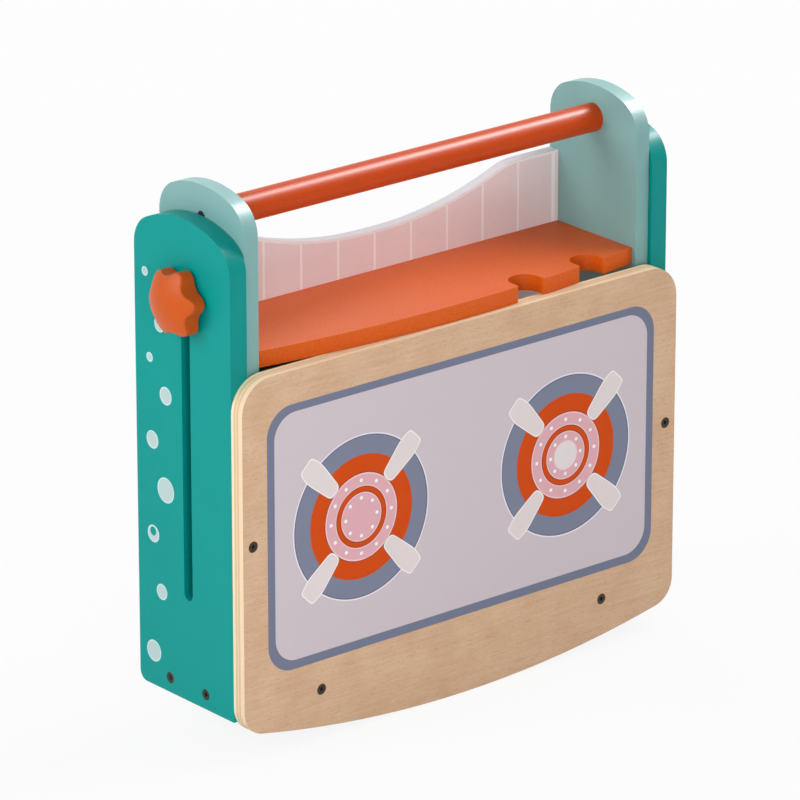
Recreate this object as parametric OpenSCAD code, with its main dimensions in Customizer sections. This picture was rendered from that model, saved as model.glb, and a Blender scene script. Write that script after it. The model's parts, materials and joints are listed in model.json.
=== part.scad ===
// Toy oven in its carrying position: a birch-ply hob panel on a lacquered carcase,
// with a handled caddy (end boards, grip rod, shelf and splashback) nested inside it.
// Millimetres, +Z up, hob facing -Y, origin under the middle at the lowest point.

/* [Carcase] */
// Width over the side boards
body_w = 400; // [360:1:440]
// Depth of the side boards, front to back
side_d = 106; // [100:1:120]
// Thickness of the side boards
side_t = 14.5; // [12:0.5:18]
// Height of a side board at the top of its arch
side_h = 356.2; // [340:0.1:380]
// Height at which the arch of a side board begins
side_straight_h = 325.5; // [310:0.5:330]
// Radius of the two corners of that arch
side_corner_r = 24; // [20:0.5:28]
// Radius of the lower rear corner of a side board
heel_r = 7.5; // [3:0.5:12]
// Thickness of the bottom board
bottom_t = 12; // [9:0.5:15]
// Height of the middle of the bottom board above the side boards' lower edge
bottom_mid_z = 11.1; // [9:0.1:14]
// Depth of the bottom board
bottom_d = 103.2; // [95:0.1:105]

/* [Hob panel] */
// Thickness of the hob panel
panel_t = 12; // [9:0.5:15]
// Height of its top edge above the side boards' lower edge
panel_top = 253.5; // [245:0.1:260]
// Drop of its curved lower edge below the side boards, in the middle
arc_drop = 27; // [15:0.5:35]
// Radius of the curved lower edge
arc_r = 925; // [900:5:1200]
// Radius of the top corners
panel_top_r = 25; // [20:0.5:34]
// Radius of the bottom corners
panel_low_r = 19.5; // [14:0.5:24]

/* [Caddy] */
// Thickness of the end boards
end_t = 12; // [10:0.5:13]
// Sliding gap between an end board and its side board
slide_gap = 0.6; // [0.3:0.1:0.8]
// Depth of the end boards
end_d = 93.5; // [88:0.5:96]
// Height of the end boards' lower edge above the side boards' lower edge
end_low_z = 24.3; // [22:0.1:30]
// Height of an end board's arch top above the side boards' lower edge
end_top_z = 378; // [370:0.5:390]
// Height at which the arch of an end board begins
end_straight_z = 349; // [340:0.5:352]
// Radius of the two corners of that arch
end_corner_r = 25; // [22:0.5:27]
// Diameter of the grip rod
rod_d = 21; // [18:0.5:24]
// Height of the rod's axis above the side boards' lower edge
rod_z = 353.5; // [345:0.5:356]
// Thickness of the shelf
shelf_t = 12; // [9:0.5:13]
// How far the shelf's front edge is set back at its ends, from the hob panel's rear face
shelf_end_y = 6.4; // [3:0.1:10]
// How far the shelf's front edge laps over the hob panel in the middle
shelf_lap = 7.3; // [3:0.1:10]
// Radius of the round end of a utensil notch
notch_r = 12.2; // [10:0.1:14]
// Across position of the first utensil notch
notch_a_x = 67.5; // [50:0.5:75]
// Across position of the second utensil notch
notch_b_x = 129.5; // [120:0.5:140]
// Depth position of the first notch's round end, from the hob panel's rear face
notch_a_y = 2.0; // [0:0.1:8]
// Depth position of the second notch's round end
notch_b_y = 6.6; // [4:0.1:12]
// Thickness of the splashback
splash_t = 9; // [6:0.5:9]
// Depth position of the splashback's printed face, from the hob panel's rear face
splash_y = 87; // [84:0.1:87]
// Height of the splashback's shoulders above the side boards' lower edge
splash_top_z = 319.8; // [310:0.1:330]
// Depth of the bowl cut in the splashback's top edge
bowl_drop = 24.5; // [15:0.1:35]
// Half width of the flat middle of that bowl
bowl_flat = 6; // [4:1:40]
// Radius of the bowl's shoulders
shoulder_r = 55; // [45:1:90]
// Across position where a shoulder becomes level
shoulder_x = 136; // [130:1:145]

/* [Clamps] */
// Width of the slot in a side board
slot_w = 9.4; // [8.8:0.1:10]
// Height of the clamp bolt at the slot's upper end, above the side boards' lower edge
slot_top_z = 298.2; // [290:0.1:305]
// Travel of the clamp along the slot
slot_travel = 217.2; // [150:0.1:222]
// Depth position of slot, rod and end-board centre, from the hob panel's rear face
axis_y = 49.6; // [48:0.1:50]
// Diameter of the clamp bolt
bolt_d = 8; // [6:0.1:8]
// Side of the bolt's square head
bolt_head = 13; // [11:0.5:13]
// Thickness of that head
bolt_head_t = 4.6; // [3:0.1:5]
// Radius of the star knob at its lobe tips
knob_r = 25; // [20:0.5:28]
// Radius of a lobe's tip
lobe_r = 6.5; // [4:0.5:7]
// Distance of a lobe's tip centre from the knob's axis
lobe_at = 18.5; // [15:0.5:20]
// Radius of the scallops between the lobes
scallop_r = 12; // [8:0.5:18]
// Thickness of the knob at its lobe tips
knob_rim_t = 9.5; // [9:0.1:12]
// Rise of the knob's domed face above its lobe tips
knob_dome = 9.1; // [6:0.1:12]
// Turn of the knobs, as drawn, from a lobe that points straight forward
knob_turn = 8; // [0:1:59]

/* [Fasteners] */
// Diameter of the screw heads
screw_head_d = 8.2; // [7:0.1:9]
// Diameter of the screw shanks
screw_d = 4; // [3:0.1:4.5]
// Length of the screws that pass through a board
screw_len = 34; // [25:1:36]

/* [Hidden] */
$fn = 96;

TEAL = [0.11, 0.61, 0.59];
PALE_TEAL = [0.51, 0.72, 0.71];
BIRCH = [0.80, 0.68, 0.56];
ORANGE = [0.83, 0.36, 0.18];
PINK = [0.83, 0.71, 0.71];
BLACK = [0.12, 0.12, 0.12];
STEEL = [0.72, 0.72, 0.74];
BRASS = [0.78, 0.64, 0.32];

eps = 0.01;
y0 = -(side_d + panel_t) / 2 + panel_t;    // rear face of the hob panel
z0 = arc_drop;                             // lower edge of the side boards
half_w = body_w / 2;
side_in_x = half_w - side_t;               // inner face of a side board
end_out_x = side_in_x - slide_gap;         // outer face of an end board
end_in_x = end_out_x - end_t;              // inner face of an end board
cy = y0 + axis_y;                          // slot, rod and clamp line
slot_low_z = slot_top_z - slot_travel;

// T groove cut in the outer face of each end board for the clamp bolt's head
throat_w = slot_w;
throat_t = 3.4;
groove_w = bolt_head + 1;
groove_t = bolt_head_t + 0.6;
groove_over = 4;          // the undercut runs on past the bolt's last place
entry_r = 9.4;            // the round pocket that lets the head into the groove
entry_z = 190;

// Screw places: depth or across, then height
bottom_screw_y = [31.5, 71.7];
panel_side_screw = [191, 132.6];
panel_bottom_screw = [131, 10.6];
splash_screw_z = [60, 170, 280];
rod_screw_rise = 1.4;     // these two were driven a little above the rod's middle
shelf_screw_y = [26, 66];
shelf_back_x = [-120, 0, 120];
head_sink = 0.2;
screw_gap = 0.05;

// Radius of an arch's top arc that meets both corner radii smoothly
function arch_top_r(d, rise, rc) = (pow(d / 2 - rc, 2) + rise * rise - rc * rc) / (2 * (rise - rc));

// Three-centred arch board outline, x across the board's depth, y up
module arch_outline(d, low, straight, top, rc) {
    r_top = arch_top_r(d, top - straight, rc);
    zc = top - r_top;
    reach = d / 2 - rc;
    a = atan2(reach, straight - zc);
    tx = r_top * sin(a);
    tz = zc + r_top * cos(a);
    translate([-d / 2, low]) square([d, straight - low]);
    for (s = [-1, 1]) translate([s * reach, straight]) circle(r = rc);
    polygon([[-reach, straight - eps], [reach, straight - eps], [tx, tz], [-tx, tz]]);
    intersection() {
        translate([0, zc]) circle(r = r_top);
        polygon([[0, zc], [2 * tx, zc + 2 * (tz - zc)], [-2 * tx, zc + 2 * (tz - zc)]]);
    }
}

// Slot outline with round ends, between two centre heights
module slot_outline(w, z_low, z_top) {
    translate([-w / 2, z_low]) square([w, z_top - z_low]);
    for (z = [z_low, z_top]) translate([0, z]) circle(d = w);
}

// Puts an outline drawn in depth and height on a board that starts at x
module board_at(x, t) {
    translate([x, 0, 0]) rotate([90, 0, 90]) linear_extrude(t) children();
}

// Countersunk screw, head at the origin, pointing along +Z; grow makes its hole
module screw(len, grow = 0) {
    head_h = (screw_head_d - screw_d) / 2;
    rim_h = 0.4;
    difference() {
        union() {
            cylinder(d = screw_head_d + 2 * grow, h = rim_h);
            translate([0, 0, rim_h])
                cylinder(d1 = screw_head_d + 2 * grow, d2 = screw_d + 2 * grow, h = head_h);
            cylinder(d = screw_d + 2 * grow, h = len + 2 * grow);
        }
        if (grow == 0)
            for (a = [0, 90]) rotate([0, 0, a]) translate([-2.2, -0.5, -1]) cube([4.4, 1, 2.3]);
    }
}

// The hole for a screw, open to the board's face
module screw_hole(len) {
    screw(len, screw_gap);
    translate([0, 0, -1]) cylinder(d = screw_head_d + 2 * screw_gap, h = 1 + eps);
}

// A screw or its hole in a face that looks toward -X (s = -1) or +X (s = 1)
module at_side(s, x, y, z) {
    translate([s * (x - head_sink), y, z]) rotate([0, -90 * s, 0]) children();
}

// Side board for s = -1 (left) or s = 1 (right)
module side_board(s) {
    color(TEAL)
    difference() {
        board_at(s < 0 ? -half_w : side_in_x, side_t)
            difference() {
                translate([y0 + side_d / 2, 0])
                    arch_outline(side_d, z0, z0 + side_straight_h, z0 + side_h, side_corner_r);
                translate([cy, z0]) slot_outline(slot_w, slot_low_z, slot_top_z);
                translate([y0 + side_d, z0]) difference() {
                    translate([-heel_r, -1]) square([heel_r + 1, heel_r + 1]);
                    translate([-heel_r, heel_r]) circle(r = heel_r);
                }
            }
        for (y = bottom_screw_y) at_side(s, half_w, y0 + y, z0 + bottom_mid_z) screw_hole(screw_len);
        panel_screw_places(s) screw_hole(screw_len);
    }
}

// Places of the hob panel's screws in one side board, pointing back from its face
module panel_screw_places(s) {
    translate([s * panel_side_screw[0], y0 - panel_t + head_sink, z0 + panel_side_screw[1]])
        rotate([-90, 0, 0]) children();
}

// Places of the hob panel's screws in the bottom board
module panel_low_places() {
    for (s = [-1, 1])
        translate([s * panel_bottom_screw[0], y0 - panel_t + head_sink, z0 + panel_bottom_screw[1]])
            rotate([-90, 0, 0]) children();
}

// Hob panel outline: round top corners, and an arc below that ends in round corners
module panel_outline() {
    zc = arc_r;                                  // the arc's lowest point is at zero
    low_cx = half_w - panel_low_r;               // centre of a bottom corner
    low_cz = zc - sqrt(pow(arc_r - panel_low_r, 2) - low_cx * low_cx);
    a = atan2(low_cx, zc - low_cz);              // where arc and corner meet
    tx = arc_r * sin(a);
    top = z0 + panel_top;
    translate([-half_w, low_cz]) square([body_w, top - panel_top_r - low_cz]);
    translate([-half_w + panel_top_r, low_cz]) square([body_w - 2 * panel_top_r, top - low_cz]);
    for (s = [-1, 1]) {
        translate([s * (half_w - panel_top_r), top - panel_top_r]) circle(r = panel_top_r);
        translate([s * low_cx, low_cz]) circle(r = panel_low_r);
    }
    intersection() {
        translate([0, zc]) circle(r = arc_r, $fn = 720);
        translate([-tx, -1]) square([2 * tx, low_cz + 6]);
    }
}

module front_hob_panel() {
    color(BIRCH)
    difference() {
        translate([0, y0, 0]) rotate([90, 0, 0]) linear_extrude(panel_t) panel_outline();
        for (s = [-1, 1]) panel_screw_places(s) screw_hole(screw_len);
        panel_low_places() screw_hole(screw_len);
    }
}

module bottom_board() {
    color(TEAL)
    difference() {
        translate([-side_in_x, y0, z0 + bottom_mid_z - bottom_t / 2])
            cube([2 * side_in_x, bottom_d, bottom_t]);
        for (s = [-1, 1], y = bottom_screw_y)
            at_side(s, half_w, y0 + y, z0 + bottom_mid_z) screw_hole(screw_len);
        panel_low_places() screw_hole(screw_len);
    }
}

module panel_side_screws() { color(BLACK) for (s = [-1, 1]) panel_screw_places(s) screw(screw_len); }
module panel_bottom_screws() { color(BLACK) panel_low_places() screw(screw_len); }

module bottom_screws(s) {
    color(BLACK)
    for (y = bottom_screw_y) at_side(s, half_w, y0 + y, z0 + bottom_mid_z) screw(screw_len);
}

// Holes and screws that pass from an end board into rod, shelf and splashback
module rod_screw_place(s) {
    at_side(s, end_out_x, cy, z0 + rod_z + rod_screw_rise) children();
}
module shelf_screw_places(s) {
    for (y = shelf_screw_y) at_side(s, end_out_x, y0 + y, z0 + shelf_mid_z()) children();
}
module splash_screw_places(s) {
    for (z = splash_screw_z) at_side(s, end_out_x, y0 + splash_y + splash_t / 2, z0 + z) children();
}
function shelf_low_z() = panel_top + 0.3;
function shelf_mid_z() = shelf_low_z() + shelf_t / 2;

// T groove for the clamp bolt, cut from the outer face of an end board
module bolt_groove(s) {
    x_out = end_out_x;
    module cut(x_face, depth) {
        board_at(s < 0 ? -x_face : x_face - depth, depth) children();
    }
    cut(x_out + 1, throat_t + 1 + eps)
        translate([cy, z0]) slot_outline(throat_w, slot_low_z, slot_top_z);
    cut(x_out - throat_t, groove_t)
        translate([cy, z0]) slot_outline(groove_w, slot_low_z - groove_over, slot_top_z + groove_over);
    translate([s * (x_out + 1), cy, z0 + entry_z]) rotate([0, -90 * s, 0])
        cylinder(r = entry_r, h = throat_t + groove_t + 1);
}

module end_board(s) {
    color(PALE_TEAL)
    difference() {
        board_at(s < 0 ? -end_out_x : end_in_x, end_t)
            translate([cy, 0])
                arch_outline(end_d, z0 + end_low_z, z0 + end_straight_z, z0 + end_top_z, end_corner_r);
        bolt_groove(s);
        rod_screw_place(s) screw_hole(screw_len);
        shelf_screw_places(s) screw_hole(screw_len);
        splash_screw_places(s) screw_hole(screw_len);
    }
}

module carry_rod() {
    color(ORANGE)
    difference() {
        translate([-end_in_x, cy, z0 + rod_z]) rotate([0, 90, 0]) cylinder(d = rod_d, h = 2 * end_in_x);
        for (s = [-1, 1]) rod_screw_place(s) screw_hole(screw_len);
    }
}

// Shelf seen from above: bowed front edge and two open utensil notches
module shelf_outline() {
    bow = shelf_end_y + shelf_lap;
    bow_r = (end_in_x * end_in_x + bow * bow) / (2 * bow);
    difference() {
        intersection() {
            translate([-end_in_x, -shelf_lap - 1]) square([2 * end_in_x, splash_y + shelf_lap + 1]);
            translate([0, bow_r - shelf_lap]) circle(r = bow_r, $fn = 720);
        }
        for (n = [[notch_a_x, notch_a_y], [notch_b_x, notch_b_y]]) {
            translate(n) circle(r = notch_r);
            translate([n[0] - notch_r, -shelf_lap - 5]) square([2 * notch_r, n[1] + shelf_lap + 5]);
        }
    }
}

module utensil_shelf() {
    color(ORANGE)
    difference() {
        translate([0, y0, z0 + shelf_low_z()]) linear_extrude(shelf_t) shelf_outline();
        for (s = [-1, 1]) shelf_screw_places(s) screw_hole(screw_len);
        shelf_back_places() screw_hole(screw_len);
    }
}

// Screws from behind, through the splashback into the shelf
module shelf_back_places() {
    for (x = shelf_back_x)
        translate([x, y0 + splash_y + splash_t - head_sink, z0 + shelf_mid_z()])
            rotate([90, 0, 0]) children();
}

// Points along an arc; skip leaves that many out at each end, where a neighbour has them
function arc_points(c, r, from, to, n, skip = 0) =
    [for (i = [skip:n - skip]) let (t = from + (to - from) * i / n) c + r * [cos(t), sin(t)]];

// Splashback outline: level shoulders and a shallow bowl between them
module splash_outline() {
    w = end_in_x;
    top = splash_top_z;
    low = top - bowl_drop;
    span = shoulder_x - bowl_flat;
    turn = 2 * atan(bowl_drop / span);               // slope where bowl meets shoulder
    bowl_r = span / sin(turn) - shoulder_r;
    polygon(concat(
        [[-w, end_low_z], [w, end_low_z], [w, top], [shoulder_x, top]],
        arc_points([shoulder_x, top - shoulder_r], shoulder_r, 90, 90 + turn, 12, 1),
        arc_points([bowl_flat, low + bowl_r], bowl_r, turn - 90, -90, 20),
        arc_points([-bowl_flat, low + bowl_r], bowl_r, -90, -90 - turn, 20),
        arc_points([-shoulder_x, top - shoulder_r], shoulder_r, 90 - turn, 90, 12, 1),
        [[-shoulder_x, top], [-w, top]]));
}

module splashback() {
    color(PINK)
    difference() {
        translate([0, y0 + splash_y + splash_t, z0]) rotate([90, 0, 0])
            linear_extrude(splash_t) splash_outline();
        for (s = [-1, 1]) splash_screw_places(s) screw_hole(screw_len);
        shelf_back_places() screw_hole(screw_len);
    }
}

module rod_screws() { color(BLACK) for (s = [-1, 1]) rod_screw_place(s) screw(screw_len); }
module shelf_end_screws() { color(BLACK) for (s = [-1, 1]) shelf_screw_places(s) screw(screw_len); }
module shelf_back_screws() { color(BLACK) shelf_back_places() screw(screw_len); }
module splash_screws(s) { color(BLACK) splash_screw_places(s) screw(screw_len); }

// Everything on a clamp's axis is drawn along +Z, from the side board's outer face outward
clamp_gap = 0.3;
washer_t = 1.5;
washer_d = 20;
knob_base = clamp_gap + washer_t + clamp_gap;    // the knob sits on its washer
insert_t = 9;
insert_d = 12;
bolt_out = 11;            // bolt length beyond the board's face
module clamp_axis(s) {
    translate([s * half_w, cy, z0 + slot_top_z]) rotate([0, 90 * s, 0]) children();
}

module clamp_bolt(s) {
    head_x = end_out_x - throat_t - groove_t + 0.3;   // inner end of the head
    color(STEEL) clamp_axis(s) {
        translate([0, 0, head_x - half_w]) cylinder(d = bolt_d, h = half_w - head_x + bolt_out);
        translate([-bolt_head / 2, -bolt_head / 2, head_x - half_w])
            cube([bolt_head, bolt_head, bolt_head_t]);
    }
}

module clamp_washer(s) {
    color(STEEL) clamp_axis(s) translate([0, 0, clamp_gap]) difference() {
        cylinder(d = washer_d, h = washer_t);
        translate([0, 0, -1]) cylinder(d = bolt_d + 0.2, h = washer_t + 2);
    }
}

// Star outline: round lobe tips joined by scallops that run into them smoothly
module star_outline() {
    step = 60;
    k = lobe_at * cos(step / 2);
    scallop_at = k + sqrt(k * k - lobe_at * lobe_at + pow(lobe_r + scallop_r, 2));
    turn = atan2(scallop_at * sin(step / 2), scallop_at * cos(step / 2) - lobe_at);
    polygon([for (a = [0:step:359]) each concat(
        arc_points(lobe_at * [cos(a), sin(a)], lobe_r, a - turn, a + turn, 12),
        arc_points(scallop_at * [cos(a + step / 2), sin(a + step / 2)], scallop_r,
            a + 180 + turn, a + 180 + step - turn, 12, 1))]);
}

module star_knob(s) {
    dome_r = (knob_r * knob_r + knob_dome * knob_dome) / (2 * knob_dome);
    top = knob_base + knob_rim_t + knob_dome;
    color(ORANGE) clamp_axis(s) difference() {
        intersection() {
            translate([0, 0, knob_base]) linear_extrude(knob_rim_t + knob_dome)
                rotate(90 + knob_turn) star_outline();
            translate([0, 0, top - dome_r]) sphere(r = dome_r);
        }
        translate([0, 0, knob_base - 1]) cylinder(d = insert_d, h = insert_t + 1);
    }
}

module knob_insert(s) {
    color(BRASS) clamp_axis(s) translate([0, 0, knob_base]) difference() {
        cylinder(d = insert_d, h = insert_t);
        translate([0, 0, -1]) cylinder(d = bolt_d + 0.12, h = insert_t + 2);
    }
}

side_board(-1);  // left_side_board
side_board(1);  // right_side_board
front_hob_panel();
bottom_board();
panel_side_screws();
panel_bottom_screws();
bottom_screws(-1);  // left_bottom_screws
bottom_screws(1);  // right_bottom_screws
end_board(-1);  // left_end_board
end_board(1);  // right_end_board
carry_rod();
utensil_shelf();
splashback();
rod_screws();
shelf_end_screws();
shelf_back_screws();
splash_screws(-1);  // left_splashback_screws
splash_screws(1);  // right_splashback_screws
clamp_bolt(-1);  // left_clamp_bolt
clamp_bolt(1);  // right_clamp_bolt
clamp_washer(-1);  // left_clamp_washer
clamp_washer(1);  // right_clamp_washer
star_knob(-1);  // left_star_knob
star_knob(1);  // right_star_knob
knob_insert(-1);  // left_knob_insert
knob_insert(1);  // right_knob_insert
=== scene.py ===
# %% [markdown]
# # A toy oven that packs into a carry box
# The object is a small wooden case. Its front is a hob, printed on birch plywood. A caddy with a
# grip rod, a shelf and a tiled splashback nests inside it, and two star knobs clamp the caddy
# through slots in the side boards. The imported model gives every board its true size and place, so
# this script only adds what a drawing leaves out: rounded edges, lacquer, wood, print and screws.

# %% Load the frame
import json
import math

import bmesh
import bpy
from mathutils import Matrix, Vector

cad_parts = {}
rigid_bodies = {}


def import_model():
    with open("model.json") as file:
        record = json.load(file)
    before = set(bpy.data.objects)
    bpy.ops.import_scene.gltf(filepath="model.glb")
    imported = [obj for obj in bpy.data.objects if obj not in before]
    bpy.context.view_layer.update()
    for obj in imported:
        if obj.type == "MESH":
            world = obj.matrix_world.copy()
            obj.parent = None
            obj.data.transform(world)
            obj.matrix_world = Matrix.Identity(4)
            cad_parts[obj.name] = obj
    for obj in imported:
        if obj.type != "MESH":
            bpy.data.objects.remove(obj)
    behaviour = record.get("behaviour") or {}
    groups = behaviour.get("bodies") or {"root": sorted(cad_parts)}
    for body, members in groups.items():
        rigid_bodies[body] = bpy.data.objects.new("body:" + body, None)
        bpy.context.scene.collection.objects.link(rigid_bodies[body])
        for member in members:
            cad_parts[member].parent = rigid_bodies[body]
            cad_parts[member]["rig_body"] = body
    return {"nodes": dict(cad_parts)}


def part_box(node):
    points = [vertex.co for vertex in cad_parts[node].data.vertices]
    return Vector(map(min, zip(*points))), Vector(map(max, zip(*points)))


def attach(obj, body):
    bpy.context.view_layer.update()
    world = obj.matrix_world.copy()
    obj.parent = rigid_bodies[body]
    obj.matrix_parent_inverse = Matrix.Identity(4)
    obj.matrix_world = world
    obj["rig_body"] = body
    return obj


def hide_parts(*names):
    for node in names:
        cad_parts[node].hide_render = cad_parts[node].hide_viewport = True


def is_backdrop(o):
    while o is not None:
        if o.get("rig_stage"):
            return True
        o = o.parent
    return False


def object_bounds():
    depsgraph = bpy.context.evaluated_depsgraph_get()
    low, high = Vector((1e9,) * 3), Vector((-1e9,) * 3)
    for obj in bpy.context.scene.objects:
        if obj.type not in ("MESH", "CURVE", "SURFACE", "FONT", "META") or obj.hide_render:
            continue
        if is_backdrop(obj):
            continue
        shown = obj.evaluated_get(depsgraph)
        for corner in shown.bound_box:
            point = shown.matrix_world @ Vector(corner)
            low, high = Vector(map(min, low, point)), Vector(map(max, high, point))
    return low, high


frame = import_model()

cad_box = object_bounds()
MM = 0.001
print("CAD box, mm:", [[round(v / MM, 1) for v in corner] for corner in cad_box])

# %% [markdown]
# Every measure on the object is taken from two datum faces, as a joiner would: the rear face of
# the hob panel and the lower edge of the side boards. Both come from the frame, so a change in the
# drawing carries over to the prints and the screws.

# %% Datum faces and the clamp line
panel_low, panel_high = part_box("front_hob_panel")
side_low, side_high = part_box("left_side_board")
bolt_low, bolt_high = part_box("left_clamp_bolt")
CLAMP = (bolt_low + bolt_high) / 2


def home(x, y, z):
    """A point in metres from millimetres: across, back from the panel, up from the boards' edge."""
    return Vector((x * MM, panel_high.y + y * MM, side_low.z + z * MM))


print("clamp line at y, z mm:", round(CLAMP.y / MM, 2), round(CLAMP.z / MM, 2))

# %% [markdown]
# The camera stands far off with a long lens, as for a catalogue picture, so the box's parallel
# edges stay nearly parallel. Its angle, distance and lens were found by matching the box's own
# corners and the two round burners.

# %% Camera
AZIMUTH = math.radians(-39.97)
ELEVATION = math.radians(20.19)
DISTANCE = 4.3741
LENS_MM = 277.43
AIM = home(0, 50, 190)
SLIDE_RIGHT, SLIDE_UP = -5.87 * MM, -11.47 * MM

back = Vector((
    math.sin(AZIMUTH) * math.cos(ELEVATION),
    -math.cos(AZIMUTH) * math.cos(ELEVATION),
    math.sin(ELEVATION),
))
right = Vector((0, 0, 1)).cross(back).normalized()
up = back.cross(right)
lens = bpy.data.cameras.new("camera")
lens.sensor_width = 36
lens.lens = LENS_MM
lens.clip_start, lens.clip_end = 0.1, 60
camera = bpy.data.objects.new("camera", lens)
bpy.context.scene.collection.objects.link(camera)
turn = Matrix((right, up, back)).transposed().to_4x4()
camera.matrix_world = Matrix.Translation(
    AIM + right * SLIDE_RIGHT + up * SLIDE_UP + back * DISTANCE
) @ turn
bpy.context.scene.camera = camera
print("camera at", [round(v, 3) for v in camera.location])

# %% [markdown]
# Materials are networks of small nodes. Two helpers keep them readable: one turns a screen colour
# into the linear light that a renderer adds up, and one adds a node with its settings and links.

# %% Helpers for colour and nodes
def colour(code):
    """Linear red, green, blue and alpha from an sRGB hex code."""
    parts = [int(code[i:i + 2], 16) / 255 for i in (0, 2, 4)]
    return [c / 12.92 if c <= 0.04045 else ((c + 0.055) / 1.055) ** 2.4 for c in parts] + [1.0]


def add(tree, kind, links=None, out=0, **settings):
    """Adds a node and returns one of its outputs; links holds values or other nodes' outputs."""
    made = tree.nodes.new(kind)
    for name, value in settings.items():
        setattr(made, name, value)
    for name, value in (links or {}).items():
        if isinstance(value, bpy.types.NodeSocket):
            tree.links.new(value, made.inputs[name])
        else:
            made.inputs[name].default_value = value
    return made.outputs[out] if made.outputs else made


def new_material(name):
    """An empty node material, and its tree."""
    made = bpy.data.materials.new(name)
    made.use_nodes = True
    made.node_tree.nodes.clear()
    return made, made.node_tree


# The mix node keeps its colour sockets at these places
FACTOR, COLOUR_A, COLOUR_B, MIXED = 0, 6, 7, 2

# %% [markdown]
# The floor and backdrop show as white paper, but the light on the object stays plain. The world
# does that with Light Path: rays from the camera, and from gloss, see nearly white, and all
# others see the softer level that lights the object. The floor mixes the same white with a matt
# surface, which keeps a faint shadow under the box. Further out only the white is left.

# %% World and floor
PAPER = 0.985
FLOOR_SHARE = 0.91
NEAR_M, FAR_M = 0.3, 1.4
SKY_LEVEL = 0.14

world = bpy.data.worlds.new("studio")
world.use_nodes = True
tree = world.node_tree
tree.nodes.clear()


def seen_directly(tree):
    """1 for rays from the camera, a gloss or a glass, and 0 for the rays that light things."""
    path = tree.nodes.new("ShaderNodeLightPath").outputs
    direct = add(tree, "ShaderNodeMath", {0: path["Is Camera Ray"], 1: path["Is Glossy Ray"]},
                 operation="MAXIMUM")
    return add(tree, "ShaderNodeMath", {0: direct, 1: path["Is Transmission Ray"]},
               operation="MAXIMUM")


seen = seen_directly(tree)
level = add(tree, "ShaderNodeMapRange", {"Value": seen, "To Min": SKY_LEVEL, "To Max": PAPER})
light = add(tree, "ShaderNodeBackground", {"Color": (1, 1, 1, 1), "Strength": level})
add(tree, "ShaderNodeOutputWorld", {"Surface": light})
bpy.context.scene.world = world
bpy.context.scene.view_settings.view_transform = "Standard"

paper, tree = new_material("matt_white_paper")
matt = add(tree, "ShaderNodeBsdfDiffuse", {"Color": (0.8, 0.8, 0.8, 1)})
glow = add(tree, "ShaderNodeEmission", {"Color": (1, 1, 1, 1), "Strength": PAPER})
away = add(tree, "ShaderNodeVectorMath", {0: add(tree, "ShaderNodeTexCoord", out="Object")},
           operation="LENGTH", out="Value")
fade = add(tree, "ShaderNodeMapRange", {"Value": away, "From Min": NEAR_M, "From Max": FAR_M,
                                        "To Min": FLOOR_SHARE, "To Max": 1.0})
share = add(tree, "ShaderNodeMath", {0: seen_directly(tree), 1: fade}, operation="MULTIPLY")
shown = add(tree, "ShaderNodeMixShader", {0: share, 1: matt, 2: glow})
add(tree, "ShaderNodeOutputMaterial", {"Surface": shown})

bm = bmesh.new()
bmesh.ops.create_grid(bm, x_segments=1, y_segments=1, size=6.0)
mesh = bpy.data.meshes.new("floor")
bm.to_mesh(mesh)
bm.free()
floor = bpy.data.objects.new("floor", mesh)
bpy.context.scene.collection.objects.link(floor)
floor.location.z = cad_box[0].z - 0.1 * MM
mesh.materials.append(paper)
floor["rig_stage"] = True
print("floor at z mm:", round(floor.location.z / MM, 2))

# %% [markdown]
# Soft boxes light the object, as in a product studio. Two on the left make the side board the
# brightest face, one in front of it fills the hob, and one high behind lights the tops. A broad one
# at the upper right lights the shelf. The small one beside it only shows in gloss: it draws the
# white streak along the rod and the round shoulders, and it casts no shadow of its own. A very
# small one inside the case lifts the dark that would otherwise show through the shelf's notches.

# %% Soft boxes
def soft_box(name, place, aim, size, watts, gloss_only=False, spread=180):
    """A square area light that looks at a point, perhaps only in gloss or in a narrow cone."""
    lamp = bpy.data.lights.new(name, "AREA")
    lamp.shape = "SQUARE"
    lamp.size = size
    lamp.energy = watts
    lamp.spread = math.radians(spread)
    holder = bpy.data.objects.new(name, lamp)
    bpy.context.scene.collection.objects.link(holder)
    holder.location = place
    holder.rotation_euler = (Vector(aim) - Vector(place)).to_track_quat("-Z", "Y").to_euler()
    holder.visible_diffuse = not gloss_only


middle = (cad_box[0] + cad_box[1]) / 2
soft_box("left_box", (-1.9, -0.5, 1.1), middle, 1.1, 8)
soft_box("left_rear_box", (-1.9, 0.6, 1.3), middle, 1.1, 22)
soft_box("front_left_box", (-0.8, -1.2, 0.6), middle, 0.8, 8.6)
soft_box("high_rear_box", (0.3, 1.5, 1.6), middle, 1.2, 15)
soft_box("right_box", (1.3, -0.3, 1.75), middle, 1.6, 33)
soft_box("streak_box", (1.3, -0.15, 1.9), middle, 0.6, 75, gloss_only=True)
soft_box("inside_box", home(150, 45, 125), home(152, 55, 240), 0.04, 0.014, spread=65)


# %% [markdown]
# Lacquered board. The side boards, end boards and shelf are fibreboard sprayed with satin lacquer.
# Spraying leaves an orange-peel skin: soft bumps about a millimetre wide that break up the gloss
# without dulling it. A slow change of tone keeps a large board from looking like one flat colour.

# %% Lacquer
PEEL_MM = 1.1
TONE_MM = 70
SHEEN = 0.10                                # flatting agent in the lacquer dulls its mirror part


def noise_at(tree, point, size_mm, detail=2.0):
    """Smooth noise from 0 to 1 whose bumps are about size_mm wide."""
    return add(tree, "ShaderNodeTexNoise",
               {"Vector": point, "Scale": 1 / (size_mm * MM), "Detail": detail})


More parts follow.
